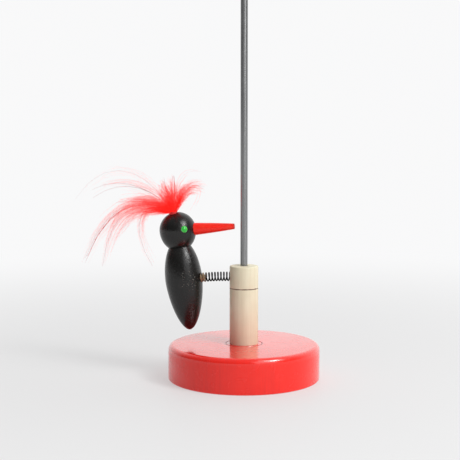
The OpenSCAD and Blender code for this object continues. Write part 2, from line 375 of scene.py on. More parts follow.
def vector_maths(tree, operation, a, b=(0.0, 0.0, 0.0)):
    """Output of a Vector Math node: a number for a length or a distance, or else a vector."""
    made = add(tree, "ShaderNodeVectorMath", {0: a, 1: b}, operation=operation)
    return made.outputs["Value" if operation in ("LENGTH", "DISTANCE") else "Vector"]


def ramp(tree, value, low, high, to_low=0.0, to_high=1.0):
    """Output of a smooth step from to_low, at low, to to_high, at high."""
    inputs = {"Value": value, "From Min": low, "From Max": high, "To Min": to_low, "To Max": to_high}
    made = add(tree, "ShaderNodeMapRange", inputs, interpolation_type="SMOOTHSTEP")
    return made.outputs["Result"]


def mix(tree, factor, a, b):
    """Output of a mix from the colour a to the colour b."""
    a, b = [c if isinstance(c, bpy.types.NodeSocket) else rgba(c) for c in (a, b)]
    made = add(tree, "ShaderNodeMix", data_type="RGBA", clamp_factor=True)
    return plug(tree, made, {0: factor, 6: a, 7: b}).outputs[2]


def noise(tree, vector, scale, detail=4.0, roughness=0.55, distortion=0.0):
    """Noise value at a scale in features per metre."""
    inputs = {"Vector": vector, "Scale": scale, "Detail": detail, "Roughness": roughness}
    inputs["Distortion"] = distortion
    return add(tree, "ShaderNodeTexNoise", inputs).outputs["Fac"]


def new_group(name, inputs, outputs):
    """A shader node group with its sockets: name, socket type and default."""
    tree = bpy.data.node_groups.new(name, "ShaderNodeTree")
    for label, kind, default in inputs:
        socket = tree.interface.new_socket(label, in_out="INPUT", socket_type=kind)
        if default is not None:
            socket.default_value = default
    for label, kind in outputs:
        tree.interface.new_socket(label, in_out="OUTPUT", socket_type=kind)
    return tree, tree.nodes.new("NodeGroupInput").outputs, tree.nodes.new("NodeGroupOutput").inputs


FLOAT = "NodeSocketFloat"
COLOUR = "NodeSocketColor"
VECTOR = "NodeSocketVector"


def grain_group():
    """Wood grain that runs along Z: broad streaks, fine fibres and short open pores."""
    if "wood grain" in bpy.data.node_groups:
        return bpy.data.node_groups["wood grain"]
    tree, given, out = new_group(
        "wood grain",
        [
            ("Vector", VECTOR, None),
            ("Pale", COLOUR, (0.8, 0.7, 0.5, 1.0)),
            ("Dark", COLOUR, (0.6, 0.5, 0.3, 1.0)),
            ("Streaks", FLOAT, 400.0),
            ("Contrast", FLOAT, 1.0),
            ("Pores", FLOAT, 1.0),
        ],
        [("Color", COLOUR), ("Height", FLOAT)],
    )
    stretch = vector_maths(tree, "MULTIPLY", given["Vector"], (1.0, 1.0, 0.045))
    streaks = noise(tree, stretch, given["Streaks"], 3.0, 0.6, 0.4)
    fibres = noise(tree, stretch, maths(tree, "MULTIPLY", given["Streaks"], 5.5), 3.0, 0.6)
    cells = add(
        tree,
        "ShaderNodeTexVoronoi",
        {"Vector": stretch, "Scale": maths(tree, "MULTIPLY", given["Streaks"], 4.0)},
    ).outputs["Distance"]
    pores = maths(tree, "MULTIPLY", ramp(tree, cells, 0.20, 0.05), given["Pores"])
    broad = ramp(tree, streaks, 0.35, 0.72)
    fine = ramp(tree, fibres, 0.3, 0.75)
    amount = maths(tree, "MULTIPLY", broad, 0.55)
    amount = maths(tree, "ADD", amount, maths(tree, "MULTIPLY", fine, 0.28))
    amount = maths(tree, "ADD", amount, maths(tree, "MULTIPLY", pores, 0.30))
    amount = maths(tree, "MULTIPLY", amount, given["Contrast"], clamp=True)
    tree.links.new(mix(tree, amount, given["Pale"], given["Dark"]), out["Color"])
    dip = maths(tree, "ADD", maths(tree, "MULTIPLY", fine, 0.5), pores)
    tree.links.new(maths(tree, "SUBTRACT", 1.0, dip), out["Height"])
    return tree


def chips_group():
    """Small chips and specks of dust, gathered into patches."""
    if "chips" in bpy.data.node_groups:
        return bpy.data.node_groups["chips"]
    tree, given, out = new_group(
        "chips",
        [("Vector", VECTOR, None), ("Size", FLOAT, 900.0), ("Amount", FLOAT, 0.5)],
        [("Mask", FLOAT)],
    )
    warped = add(
        tree,
        "ShaderNodeTexNoise",
        {"Vector": given["Vector"], "Scale": maths(tree, "MULTIPLY", given["Size"], 0.8), "Detail": 3.0},
    ).outputs["Color"]
    wobble = vector_maths(tree, "MULTIPLY", warped, (1.2 * MM, 1.2 * MM, 1.2 * MM))
    vector = vector_maths(tree, "ADD", given["Vector"], wobble)
    cells = add(
        tree, "ShaderNodeTexVoronoi", {"Vector": vector, "Scale": given["Size"], "Randomness": 1.0}
    )
    speck = ramp(tree, cells.outputs["Distance"], 0.24, 0.10)
    lot = add(tree, "ShaderNodeSeparateColor", {0: cells.outputs["Color"]}).outputs[0]
    picked = ramp(tree, lot, 0.55, 0.65)
    patches = noise(tree, given["Vector"], maths(tree, "MULTIPLY", given["Size"], 0.22), 3.0)
    near = ramp(tree, maths(tree, "ADD", patches, given["Amount"]), 0.95, 1.15)
    mask = maths(tree, "MULTIPLY", maths(tree, "MULTIPLY", speck, picked), near, clamp=True)
    tree.links.new(mask, out["Mask"])
    return tree


def handling_group():
    """Uneven gloss from hands: the roughness between two values."""
    if "handling" in bpy.data.node_groups:
        return bpy.data.node_groups["handling"]
    tree, given, out = new_group(
        "handling",
        [("Vector", VECTOR, None), ("Glossy", FLOAT, 0.2), ("Dull", FLOAT, 0.4), ("Size", FLOAT, 90.0)],
        [("Roughness", FLOAT)],
    )
    smears = noise(tree, given["Vector"], given["Size"], 5.0, 0.65, 0.6)
    fac = ramp(tree, smears, 0.3, 0.7)
    spread = maths(tree, "SUBTRACT", given["Dull"], given["Glossy"])
    value = maths(tree, "ADD", given["Glossy"], maths(tree, "MULTIPLY", fac, spread))
    tree.links.new(value, out["Roughness"])
    return tree


def place_group(tree, group, inputs):
    """Puts a node group in a material, with its own values."""
    return add(tree, "ShaderNodeGroup", inputs, node_tree=group).outputs


def wood_grain(tree, spot, pale, dark, streaks, contrast, pores=1.0):
    """Outputs of the wood grain group, between two colours."""
    inputs = {"Vector": spot, "Pale": rgba(pale), "Dark": rgba(dark)}
    inputs.update({"Streaks": streaks, "Contrast": contrast, "Pores": pores})
    return place_group(tree, grain_group(), inputs)


def chip_mask(tree, spot, size, amount):
    """Mask of the chips group."""
    return place_group(tree, chips_group(), {"Vector": spot, "Size": size, "Amount": amount})["Mask"]


def handled(tree, spot, glossy, dull, size):
    """Roughness from the handling group."""
    inputs = {"Vector": spot, "Glossy": glossy, "Dull": dull, "Size": size}
    return place_group(tree, handling_group(), inputs)["Roughness"]


def new_material(name):
    """A material, its node tree, its Principled shader and its Object coordinates."""
    material = bpy.data.materials.new(name)
    material.use_nodes = True
    tree = material.node_tree
    shader = tree.nodes["Principled BSDF"]
    spot = tree.nodes.new("ShaderNodeTexCoord").outputs["Object"]
    return material, tree, shader, spot


def bump(tree, shader, height, strength, distance):
    """Feeds a height to the shader's normal."""
    inputs = {"Height": height, "Strength": strength, "Distance": distance}
    made = add(tree, "ShaderNodeBump", inputs)
    tree.links.new(made.outputs["Normal"], shader.inputs["Normal"])


# ---- materials ----


def stained_wood(name="red stained wood"):
    """Red stain under clear lacquer, which is thinner on the sides, where the grain soaks it up."""
    if name in bpy.data.materials:
        return bpy.data.materials[name]
    sizes = bpy.context.scene.woodpecker_stand
    material, tree, shader, spot = new_material(name)
    grain = wood_grain(tree, spot, sizes.stain, sizes.stain_dark, 420.0, 0.8, 0.0)
    clouds = ramp(tree, noise(tree, spot, 45.0, 3.0), 0.35, 0.7, 0.0, 0.7)
    stained = mix(tree, clouds, grain["Color"], sizes.stain)
    axes = add(tree, "ShaderNodeSeparateXYZ", {0: spot}).outputs
    level = add(tree, "ShaderNodeCombineXYZ", {0: axes["X"], 1: axes["Y"]}).outputs[0]
    away = vector_maths(tree, "LENGTH", level)
    off_line = maths(tree, "ABSOLUTE", maths(tree, "SUBTRACT", away, sizes.scribe_radius))
    # The scribed line is coloured darker, in patches; the knob above is left out.
    line = ramp(tree, off_line, 0.46 * MM, 0.26 * MM)
    low = ramp(tree, axes["Z"], 25.0 * MM, 22.0 * MM)
    patchy = ramp(tree, noise(tree, spot, 260.0), 0.38, 0.55, 0.35, 1.0)
    groove_dark = maths(tree, "MULTIPLY", maths(tree, "MULTIPLY", line, low), patchy)
    tree.links.new(mix(tree, groove_dark, stained, (0.06, 0.008, 0.008)), shader.inputs["Base Color"])
    tree.links.new(handled(tree, spot, 0.20, 0.30, 120.0), shader.inputs["Roughness"])
    shader.inputs["Specular IOR Level"].default_value = 0.35
    thickness = ramp(tree, axes["Z"], 15.0 * MM, 17.5 * MM, 0.45, 1.0)
    tree.links.new(thickness, shader.inputs["Coat Weight"])
    shader.inputs["Coat Roughness"].default_value = 0.08
    bump(tree, shader, grain["Height"], 0.03, 0.04 * MM)
    return material


def pale_wood(name="pale wood"):
    """Bare turned wood with fine upright grain, and painted shade where the slider rests on the post."""
    if name in bpy.data.materials:
        return bpy.data.materials[name]
    sizes = bpy.context.scene.woodpecker_stand
    material, tree, shader, spot = new_material(name)
    grain = wood_grain(tree, spot, sizes.wood, sizes.wood_dark, 420.0, 0.62)
    warm = ramp(tree, noise(tree, spot, 70.0, 2.0), 0.35, 0.7, 0.0, 0.3)
    turned_wood = mix(tree, warm, grain["Color"], sizes.wood_dark)
    height = add(tree, "ShaderNodeSeparateXYZ", {0: spot}).outputs["Z"]
    ragged = maths(tree, "MULTIPLY", maths(tree, "SUBTRACT", noise(tree, spot, 500.0), 0.5), 0.5 * MM)
    # Painted shade: a dark ragged band where the slider rests on the post.
    off_seam = maths(tree, "ABSOLUTE", maths(tree, "SUBTRACT", height, SLIDER_LOW.z))
    seam_shade = ramp(tree, maths(tree, "ADD", off_seam, ragged), 0.34 * MM, 0.16 * MM)
    tree.links.new(mix(tree, seam_shade, turned_wood, (0.13, 0.075, 0.045)), shader.inputs["Base Color"])
    tree.links.new(handled(tree, spot, 0.46, 0.62, 200.0), shader.inputs["Roughness"])
    bump(tree, shader, grain["Height"], 0.30, 0.10 * MM)
    return material


def drawn_steel(name="drawn steel"):
    """Drawn steel rod: fine scratches and stains that run along it."""
    if name in bpy.data.materials:
        return bpy.data.materials[name]
    sizes = bpy.context.scene.woodpecker_stand
    material, tree, shader, spot = new_material(name)
    stretch = vector_maths(tree, "MULTIPLY", spot, (1.0, 1.0, 0.012))
    lines = noise(tree, stretch, 2600.0, 4.0, 0.7)
    bands = noise(tree, stretch, 600.0, 2.0, 0.5)
    stains = noise(tree, spot, 110.0, 5.0, 0.7)
    tone = maths(tree, "ADD", maths(tree, "MULTIPLY", lines, 0.6), maths(tree, "MULTIPLY", bands, 0.4))
    dark = tuple(0.62 * c for c in sizes.steel)
    base = mix(tree, ramp(tree, tone, 0.35, 0.65), dark, sizes.steel)
    brown = mix(tree, ramp(tree, stains, 0.6, 0.85, 0.0, 0.5), base, (0.16, 0.13, 0.11))
    tree.links.new(brown, shader.inputs["Base Color"])
    shader.inputs["Metallic"].default_value = 1.0
    uneven = maths(tree, "ADD", lines, maths(tree, "MULTIPLY", stains, 0.4))
    tree.links.new(ramp(tree, uneven, 0.4, 0.95, 0.20, 0.42), shader.inputs["Roughness"])
    bump(tree, shader, lines, 0.12, 0.03 * MM)
    return material


def spring_steel(name="spring steel"):
    """Dark oiled wire, with a film of old glue on the turns at the breast."""
    if name in bpy.data.materials:
        return bpy.data.materials[name]
    sizes = bpy.context.scene.woodpecker_spring
    material, tree, shader, spot = new_material(name)
    away = add(tree, "ShaderNodeSeparateXYZ", {0: spot}).outputs["X"]
    mouth = spring_middle(sizes.span).x
    ragged = maths(tree, "MULTIPLY", maths(tree, "SUBTRACT", noise(tree, spot, 700.0), 0.5), 0.003)
    film = ramp(tree, maths(tree, "ADD", away, ragged), mouth + 3.2 * MM, mouth + 1.4 * MM, 0.0, 0.85)
    specks = ramp(tree, noise(tree, spot, 2500.0, 4.0, 0.7), 0.55, 0.8, 0.0, 0.6)
    wire = mix(tree, specks, sizes.steel, (0.040, 0.032, 0.030))
    tree.links.new(mix(tree, film, wire, sizes.glue), shader.inputs["Base Color"])
    tree.links.new(ramp(tree, film, 0.0, 0.8, 0.5, 0.0), shader.inputs["Metallic"])
    tree.links.new(ramp(tree, specks, 0.0, 0.6, 0.38, 0.55), shader.inputs["Roughness"])
    shader.inputs["Specular IOR Level"].default_value = 0.3
    shader.inputs["Specular Tint"].default_value = (0.1, 0.1, 0.1, 1.0)
    bump(tree, shader, noise(tree, spot, 4000.0, 3.0), 0.10, 0.03 * MM)
    return material


# Middle of the patch of chips on the body, in the bird's own frame.
CHIPPED = Vector((4.8 * MM, -8.2 * MM, -19.0 * MM))


def black_lacquer(name, ripple, wear):
    """Black lacquer over turned wood. ripple is how uneven it is, wear how much of it is chipped."""
    if name in bpy.data.materials:
        return bpy.data.materials[name]
    bird = bpy.context.scene.woodpecker_bird
    material, tree, shader, spot = new_material(name)
    reach = vector_maths(tree, "DISTANCE", spot, tuple(bird_place() @ CHIPPED))
    rubbed = ramp(tree, reach, 12.5 * MM, 2.0 * MM, 0.0, wear)
    coarse = chip_mask(tree, spot, 900.0, rubbed)
    chips = maths(tree, "MAXIMUM", coarse, chip_mask(tree, spot, 1700.0, rubbed))
    dust = chip_mask(tree, spot, 2600.0, 0.46)
    grain = wood_grain(tree, spot, bird.lacquer, (0.010, 0.0090, 0.0085), 520.0, 0.9)
    dusty = mix(tree, maths(tree, "MULTIPLY", dust, 0.22), grain["Color"], bird.lacquer_worn)
    tree.links.new(mix(tree, chips, dusty, bird.lacquer_worn), shader.inputs["Base Color"])
    gloss = handled(tree, spot, 0.19, 0.30, 260.0)
    rough = maths(tree, "ADD", gloss, maths(tree, "MULTIPLY", chips, 0.3))
    tree.links.new(rough, shader.inputs["Roughness"])
    shader.inputs["Specular IOR Level"].default_value = 0.42
    peel = noise(tree, spot, 1500.0, 4.0, 0.6)
    waves = noise(tree, spot, 420.0, 2.0, 0.5)
    height = maths(tree, "ADD", maths(tree, "MULTIPLY", peel, 0.55), maths(tree, "MULTIPLY", waves, 0.9))
    height = maths(tree, "SUBTRACT", height, maths(tree, "MULTIPLY", chips, 0.8))
    height = maths(tree, "ADD", height, maths(tree, "MULTIPLY", grain["Height"], 0.25))
    bump(tree, shader, height, ripple, 0.12 * MM)
    return material


def beak_paint(name="beak paint"):
    """Thin red paint on the turned beak, with grain along it and a scuffed tip."""
    if name in bpy.data.materials:
        return bpy.data.materials[name]
    bird = bpy.context.scene.woodpecker_bird
    material, tree, shader, spot = new_material(name)
    along = add(
        tree, "ShaderNodeMapping", {"Vector": spot, "Rotation": (0.0, math.radians(90), 0.0)}
    ).outputs[0]
    grain = wood_grain(tree, along, bird.beak, bird.beak_dark, 500.0, 0.9)
    blots = ramp(tree, noise(tree, spot, 330.0, 4.0, 0.6), 0.45, 0.72, 0.0, 0.45)
    mottled = mix(tree, blots, grain["Color"], (0.93, 0.075, 0.022))
    away = add(tree, "ShaderNodeSeparateXYZ", {0: spot}).outputs["X"]
    tip = (beak_place() @ Vector((0.0, 0.0, bird.beak_reach))).x
    scuff = maths(tree, "ADD", away, maths(tree, "MULTIPLY", noise(tree, spot, 900.0), 0.8 * MM))
    edge = ramp(tree, scuff, tip - 0.5 * MM, tip + 0.2 * MM, 0.0, 0.6)
    tree.links.new(mix(tree, edge, mottled, (0.30, 0.035, 0.030)), shader.inputs["Base Color"])
    tree.links.new(handled(tree, spot, 0.30, 0.46, 300.0), shader.inputs["Roughness"])
    shader.inputs["Specular IOR Level"].default_value = 0.35
    bump(tree, shader, grain["Height"], 0.22, 0.08 * MM)
    return material


def eye_paint(side):
    """Bright green enamel, with a painted paler highlight towards the rim."""
    name = "eye enamel left" if side > 0 else "eye enamel right"
    bird = bpy.context.scene.woodpecker_bird
    material, tree, shader, spot = new_material(name)
    centre = eye_place(side) @ Vector((0.0, 0.0, bird.head_radius))
    off = vector_maths(tree, "DISTANCE", spot, tuple(centre))
    uneven = maths(tree, "MULTIPLY", maths(tree, "SUBTRACT", noise(tree, spot, 900.0), 0.5), 0.6 * MM)
    # Painted highlight: a paler green ring towards the rim of the eye.
    rim = ramp(tree, maths(tree, "ADD", off, uneven), 0.32 * bird.eye_width, 0.5 * bird.eye_width)
    swirl = ramp(tree, noise(tree, spot, 1300.0, 3.0), 0.35, 0.7, 0.0, 0.35)
    body = mix(tree, swirl, bird.eye, (0.012, 0.33, 0.030))
    tree.links.new(mix(tree, rim, body, bird.eye_rim_highlight), shader.inputs["Base Color"])
    tree.links.new(ramp(tree, swirl, 0.0, 0.35, 0.16, 0.3), shader.inputs["Roughness"])
    shader.inputs["Coat Weight"].default_value = 0.3
    bump(tree, shader, noise(tree, spot, 1800.0, 2.0), 0.10, 0.04 * MM)
    return material


def glued_wood(name="glued wood"):
    """Bare wood stained by glue."""
    if name in bpy.data.materials:
        return bpy.data.materials[name]
    sizes = bpy.context.scene.woodpecker_spring
    material, tree, shader, spot = new_material(name)
    blots = ramp(tree, noise(tree, spot, 900.0, 4.0, 0.6), 0.35, 0.7)
    tree.links.new(mix(tree, blots, sizes.glue, (0.60, 0.49, 0.35)), shader.inputs["Base Color"])
    tree.links.new(ramp(tree, blots, 0.0, 1.0, 0.3, 0.6), shader.inputs["Roughness"])
    bump(tree, shader, noise(tree, spot, 2200.0, 3.0), 0.3, 0.08 * MM)
    return material


def bound_thread(name="bound thread"):
    """Red thread wound round the feathers' feet and soaked in glue, with painted shade in the grooves
    between the turns.
    """
    if name in bpy.data.materials:
        return bpy.data.materials[name]
    crest = bpy.context.scene.woodpecker_crest
    material, tree, shader, spot = new_material(name)
    turns = add(
        tree,
        "ShaderNodeTexWave",
        {"Vector": spot, "Scale": 900.0, "Distortion": 1.2, "Detail": 2.0, "Detail Scale": 1.5},
        bands_direction="Z",
    ).outputs["Fac"]
    # Painted shade: the grooves between the turns, where the bump sinks, take the dark quill colour.
    tree.links.new(mix(tree, turns, crest.shade, crest.core), shader.inputs["Base Color"])
    tree.links.new(ramp(tree, turns, 0.0, 1.0, 0.7, 0.45), shader.inputs["Roughness"])
    bump(tree, shader, turns, 0.6, 0.15 * MM)
    return material


def feather(name="dyed feather"):
    """Dyed feather, deep at its foot and paler to its tip, with a painted glow: the barbs emit their own
    colour in place of light shining through them.
    """
    if name in bpy.data.materials:
        return bpy.data.materials[name]
    crest = bpy.context.scene.woodpecker_crest
    material, tree, shader, spot = new_material(name)
    reach = add(tree, "ShaderNodeAttribute", attribute_name="reach").outputs["Fac"]
    tone = add(tree, "ShaderNodeAttribute", attribute_name="tone").outputs["Fac"]
    patchy = maths(tree, "MULTIPLY", maths(tree, "SUBTRACT", noise(tree, spot, 260.0), 0.5), 0.5)
    fade = ramp(tree, maths(tree, "ADD", reach, maths(tree, "MULTIPLY", patchy, 0.6)), 0.10, 0.95)
    dyed = mix(tree, fade, crest.core, crest.tip)
    shaded = mix(tree, tone, dyed, crest.shade)
    tree.links.new(shaded, shader.inputs["Base Color"])
    tree.links.new(ramp(tree, patchy, -0.2, 0.2, 0.55, 0.75), shader.inputs["Roughness"])
    shader.inputs["Specular IOR Level"].default_value = 0.05
    # Painted glow: the barbs emit their own colour, in place of the light that would shine through them.
    tree.links.new(shaded, shader.inputs["Emission Color"])
    shader.inputs["Emission Strength"].default_value = crest.glow
    return material


# ---- stand ----


class WOODPECKER_OT_base_disc(bpy.types.Operator):
    """Turned red disc with a rounded edge, a scribed line and a blind hole for the rod"""

    bl_idname = "woodpecker.base_disc"
    bl_label = "Base disc"

    def execute(self, context):
        sizes = context.scene.woodpecker_stand
        rod_low, rod_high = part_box("rod")
        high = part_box("base_disc")[1]
        top = high.z
        r = high.x
        bore = rod_high.x + sizes.fit
        half = sizes.scribe_width / 2
        lip = sizes.top_round
        outline = [(0.0, rod_low.z), (bore, rod_low.z), (bore, top)]
        for across, deep in ((-1.0, 0.0), (-0.45, 0.8), (0.0, 1.0), (0.45, 0.8), (1.0, 0.0)):
            outline.append((sizes.scribe_radius + half * across, top - deep * sizes.scribe_depth))
        outline += arc((r - lip, top - lip), lip, 90, 0, 14)
        outline += arc((r - sizes.foot_round, sizes.foot_round), sizes.foot_round, 0, -90, 6)
        outline.append((0.0, 0.0))
        piece = new_piece(turned(outline, steps=192), "turned_base")
        smooth(piece, 40)
        dress(piece, stained_wood(), ["base_disc"])
        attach(piece, "stand")
        return {"FINISHED"}


class WOODPECKER_OT_post_and_slider(bpy.types.Operator):
    """Pale wooden post on the base and the loose slider that rests on it"""

    bl_idname = "woodpecker.post_and_slider"
    bl_label = "Post and slider"

    def execute(self, context):
        sizes = context.scene.woodpecker_stand
        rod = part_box("rod")[1].x
        self.make_tube("stop_post", "turned_post", "stand", rod + sizes.fit, sizes.soft_edge)
        slider = self.make_tube(
            "slider", "turned_slider", "slider", rod + sizes.slider_play, sizes.slider_bevel
        )
        self.cut_socket(slider)
        return {"FINISHED"}

    def make_tube(self, node, name, body, bore, top_round):
        """A wooden cylinder with a bore and softened edges."""
        low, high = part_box(node)
        foot = bpy.context.scene.woodpecker_stand.soft_edge
        outline = [(bore, low.z), (high.x - foot, low.z)]
        outline += arc((high.x - foot, low.z + foot), foot, -60, 0, 3)
        outline += arc((high.x - top_round, high.z - top_round), top_round, 0, 80, 6)
        outline += [(bore + foot, high.z), (bore, high.z - foot)]
        piece = new_piece(turned(outline, closed=True, steps=96), name)
        smooth(piece, 32)
        dress(piece, pale_wood(), [node])
        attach(piece, body)
        return piece

    def cut_socket(self, slider):
        """Drills the spring's socket into the slider's side."""
        spring = bpy.context.scene.woodpecker_spring
        depth = spring.slider_socket + spring.wire / 2 + spring.socket_play
        radius = spring.outer / 2 + spring.socket_play
        mouth = spring_middle(0.0)
        inward = Matrix.Translation(mouth) @ Matrix.Rotation(math.radians(90), 4, "Y")
        outline = [(0.0, depth), (radius, depth), (radius, -2 * MM), (0.0, -2 * MM)]
        drill(slider, turned(outline, inward, steps=48))
        smooth(slider, 32)
        slider.data.materials.clear()
        slider.data.materials.append(pale_wood())


class WOODPECKER_OT_rod_and_knob(bpy.types.Operator):
    """Steel rod with chamfered ends, and the red knob on its upper end"""

    bl_idname = "woodpecker.rod_and_knob"
    bl_label = "Rod and knob"

    def execute(self, context):
        sizes = context.scene.woodpecker_stand
        low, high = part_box("rod")
        chamfer = 0.3 * MM
        outline = [(0.0, low.z), (high.x - chamfer, low.z), (high.x, low.z + chamfer)]
        outline += [(high.x, high.z - chamfer), (high.x - chamfer, high.z), (0.0, high.z)]
        rod = new_piece(turned(outline, steps=64), "steel_rod")
        smooth(rod, 32)
        dress(rod, drawn_steel(), ["rod"])
        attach(rod, "rod")
        knob_low, knob_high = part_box("top_knob")
        r = knob_high.x
        bore = high.x + sizes.fit
        flat = high.x + 1.5 * MM
        centre = knob_high.z - r
        start = -math.degrees(math.acos(flat / r))
        outline = [(0.0, high.z + sizes.fit), (bore, high.z + sizes.fit), (bore, knob_low.z)]
        outline += arc((0.0, centre), r, start, 90, 28)
        outline[-1] = (0.0, knob_high.z)
        knob = new_piece(turned(outline, steps=96), "turned_knob")
        smooth(knob, 32)
        dress(knob, stained_wood(), ["top_knob"])
        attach(knob, "rod")
        return {"FINISHED"}


# ---- spring ----


class WOODPECKER_OT_spring(bpy.types.Operator):
    """Open coil spring in two halves, parted at the sway's pivot"""

    bl_idname = "woodpecker.spring"
    bl_label = "Spring"

    def execute(self, context):
        sizes = context.scene.woodpecker_spring
        sway = next(j for j in frame["joints"] if j["name"] == "sway")
        middle = spring_middle(0.0).x - sway["pos_m"][0]
        first = -sizes.slider_socket
        last = sizes.span + sizes.breast_socket
        near = self.make_coil("spring_near_slider", first, middle)
        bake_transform(near)
        far = self.make_coil("spring_near_bird", middle, last)
        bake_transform(far)
        return {"FINISHED"}

    def make_coil(self, name, first, last):
        """The wire between two distances along the spring: coiled straight, then bent through the droop."""
        sizes = bpy.context.scene.woodpecker_spring
        coil = (sizes.outer - sizes.wire) / 2
        turns = (last - first) / sizes.pitch
        steps = math.ceil(turns * 28)
        lead = math.atan2(sizes.pitch, math.tau * coil)
        bm = bmesh.new()
        bmesh.ops.create_circle(bm, cap_ends=False, radius=sizes.wire / 2, segments=10)
        across_wire = Matrix.Rotation(lead, 4, "Z") @ Matrix.Rotation(math.radians(-90), 4, "X")
        round_coil = Matrix.Rotation(-math.tau * first / sizes.pitch, 4, "X")
        start = Matrix.Translation((-first, 0.0, 0.0)) @ round_coil @ Matrix.Translation((0.0, 0.0, coil))
        bmesh.ops.transform(bm, matrix=start @ across_wire, verts=bm.verts)
        bmesh.ops.spin(
            bm, geom=bm.verts[:] + bm.edges[:], cent=(0, 0, 0), axis=(-1, 0, 0), angle=math.tau * turns,
            steps=steps, dvec=(-(last - first) / steps, 0.0, 0.0), use_merge=False,
        )
        bmesh.ops.holes_fill(bm, edges=bm.edges, sides=12)
        bmesh.ops.recalc_face_normals(bm, faces=bm.faces)
        for vert in bm.verts:
            s = -vert.co.x
            vert.co = spring_middle(s) + spring_up(s) * vert.co.z + Vector((0.0, vert.co.y, 0.0))
        piece = new_piece(bm, name)
        smooth(piece, 50)
        dress(piece, spring_steel(), ["spring"])
        return piece


# ---- bird ----


class WOODPECKER_OT_body(bpy.types.Operator):
    """Turned body in black lacquer, with the spring's socket in its breast and the glued plug in that"""

    bl_idname = "woodpecker.body"
    bl_label = "Body"

    def execute(self, context):
        bird = context.scene.woodpecker_bird
        spring = context.scene.woodpecker_spring
        fit = context.scene.woodpecker_stand.fit
        dowel = bird.dowel / 2 + fit
        steps = 40
        neck = math.sqrt(1 - (bird.neck_radius / bird.body_radius) ** 2)
        outline = [(0.0, -bird.dowel_hole), (dowel, -bird.dowel_hole), (dowel, 0.0)]
        for i in range(steps):
            t = neck * (1 - i / steps)
            outline.append((bird.body_radius * math.sqrt(1 - t * t), -bird.chest_drop * (1 - t / neck)))
        for i in range(steps + 1):
            t = 1 - (1 - i / steps) ** 2
            radius = bird.body_radius * max(0.0, 1 - t**1.6) ** 0.55
            outline.append((radius, -bird.chest_drop - bird.tail_drop * t))
        body = new_piece(turned(outline, bird_place(), steps=128), "lacquered_body")
        depth = spring.breast_socket + spring.wire / 2 + spring.socket_play
        mouth = spring.outer / 2 + spring.socket_play
        tool = [(0.0, 0.0), (mouth, 0.0), (mouth, depth + 3 * MM), (0.0, depth + 3 * MM)]
        drill(body, turned(tool, breast_place(depth), steps=48))
        smooth(body, 40)
        dress(body, black_lacquer("body lacquer", 1.10, 0.80), ["bird_body"])
        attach(body, "bird")
        peg = (spring.outer - 2 * spring.wire) / 2 - 0.25 * MM
        end = depth + spring.peg_proud
        outline = [(0.0, 0.0), (peg, 0.0), (peg, end - 0.5 * MM)]
        outline += [(peg * 0.82, end - 0.12 * MM), (peg * 0.4, end), (0.0, end)]
        plug = new_piece(turned(outline, breast_place(depth), steps=32), "glue_plug")
        smooth(plug, 50)
        dress(plug, glued_wood(), ["breast_peg"])
        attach(plug, "bird")
        return {"FINISHED"}


class WOODPECKER_OT_head(bpy.types.Operator):
    """Turned head in black lacquer, and the finish of the dowel that joins it to the body"""

    bl_idname = "woodpecker.head"
    bl_label = "Head"

    def execute(self, context):
        bird = context.scene.woodpecker_bird
        fit = context.scene.woodpecker_stand.fit
        dowel = bird.dowel / 2 + fit
        steps = 28
        jaw = bird.head_rise / math.sqrt(1 - (bird.neck_radius / bird.head_radius) ** 2)
        outline = [(0.0, bird.dowel_hole), (dowel, bird.dowel_hole), (dowel, 0.0)]
        for i in range(steps):
            z = -bird.head_rise * (1 - i / steps)
            outline.append((bird.head_radius * math.sqrt(1 - (z / jaw) ** 2), bird.head_rise + z))
        outline += arc((0.0, bird.head_rise), bird.head_radius, 0, 90, 36)
        outline[-1] = (0.0, bird.head_rise + bird.head_radius)
        head = new_piece(turned(outline, bird_place(), steps=128), "lacquered_head")
        smooth(head, 40)
        dress(head, black_lacquer("head lacquer", 0.50, 0.10), ["bird_head"])
        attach(head, "bird")
        paint_node("neck_dowel", pale_wood())
        return {"FINISHED"}


class WOODPECKER_OT_beak(bpy.types.Operator):
    """Tapered red beak with a softened tip and a shank in the head"""

    bl_idname = "woodpecker.beak"
    bl_label = "Beak"

    def execute(self, context):
        bird = context.scene.woodpecker_bird
        fit = context.scene.woodpecker_stand.fit
        root = bird.beak_root / 2
        tip = bird.beak_tip / 2
        seat = math.sqrt(bird.head_radius**2 - root**2) - 0.3 * MM
        shank = 5.0 * MM
        tip_round = 0.4 * MM
        outline = [(0.0, seat - shank + fit), (root - fit, seat - shank + fit), (root - fit, seat)]
        steps = 10
        for i in range(steps):
            t = i / steps
            belly = 0.12 * MM * math.sin(math.pi * t)
            out = seat + (bird.beak_reach - tip_round - seat) * t
            outline.append((root + (tip - root) * t + belly, out))
        outline += arc((tip - tip_round, bird.beak_reach - tip_round), tip_round, 0, 90, 6)
        outline.append((0.0, bird.beak_reach))
        beak = new_piece(turned(outline, beak_place(), steps=64), "painted_beak")
        smooth(beak, 35)
        dress(beak, beak_paint(), ["beak"])
        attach(beak, "bird")
        return {"FINISHED"}


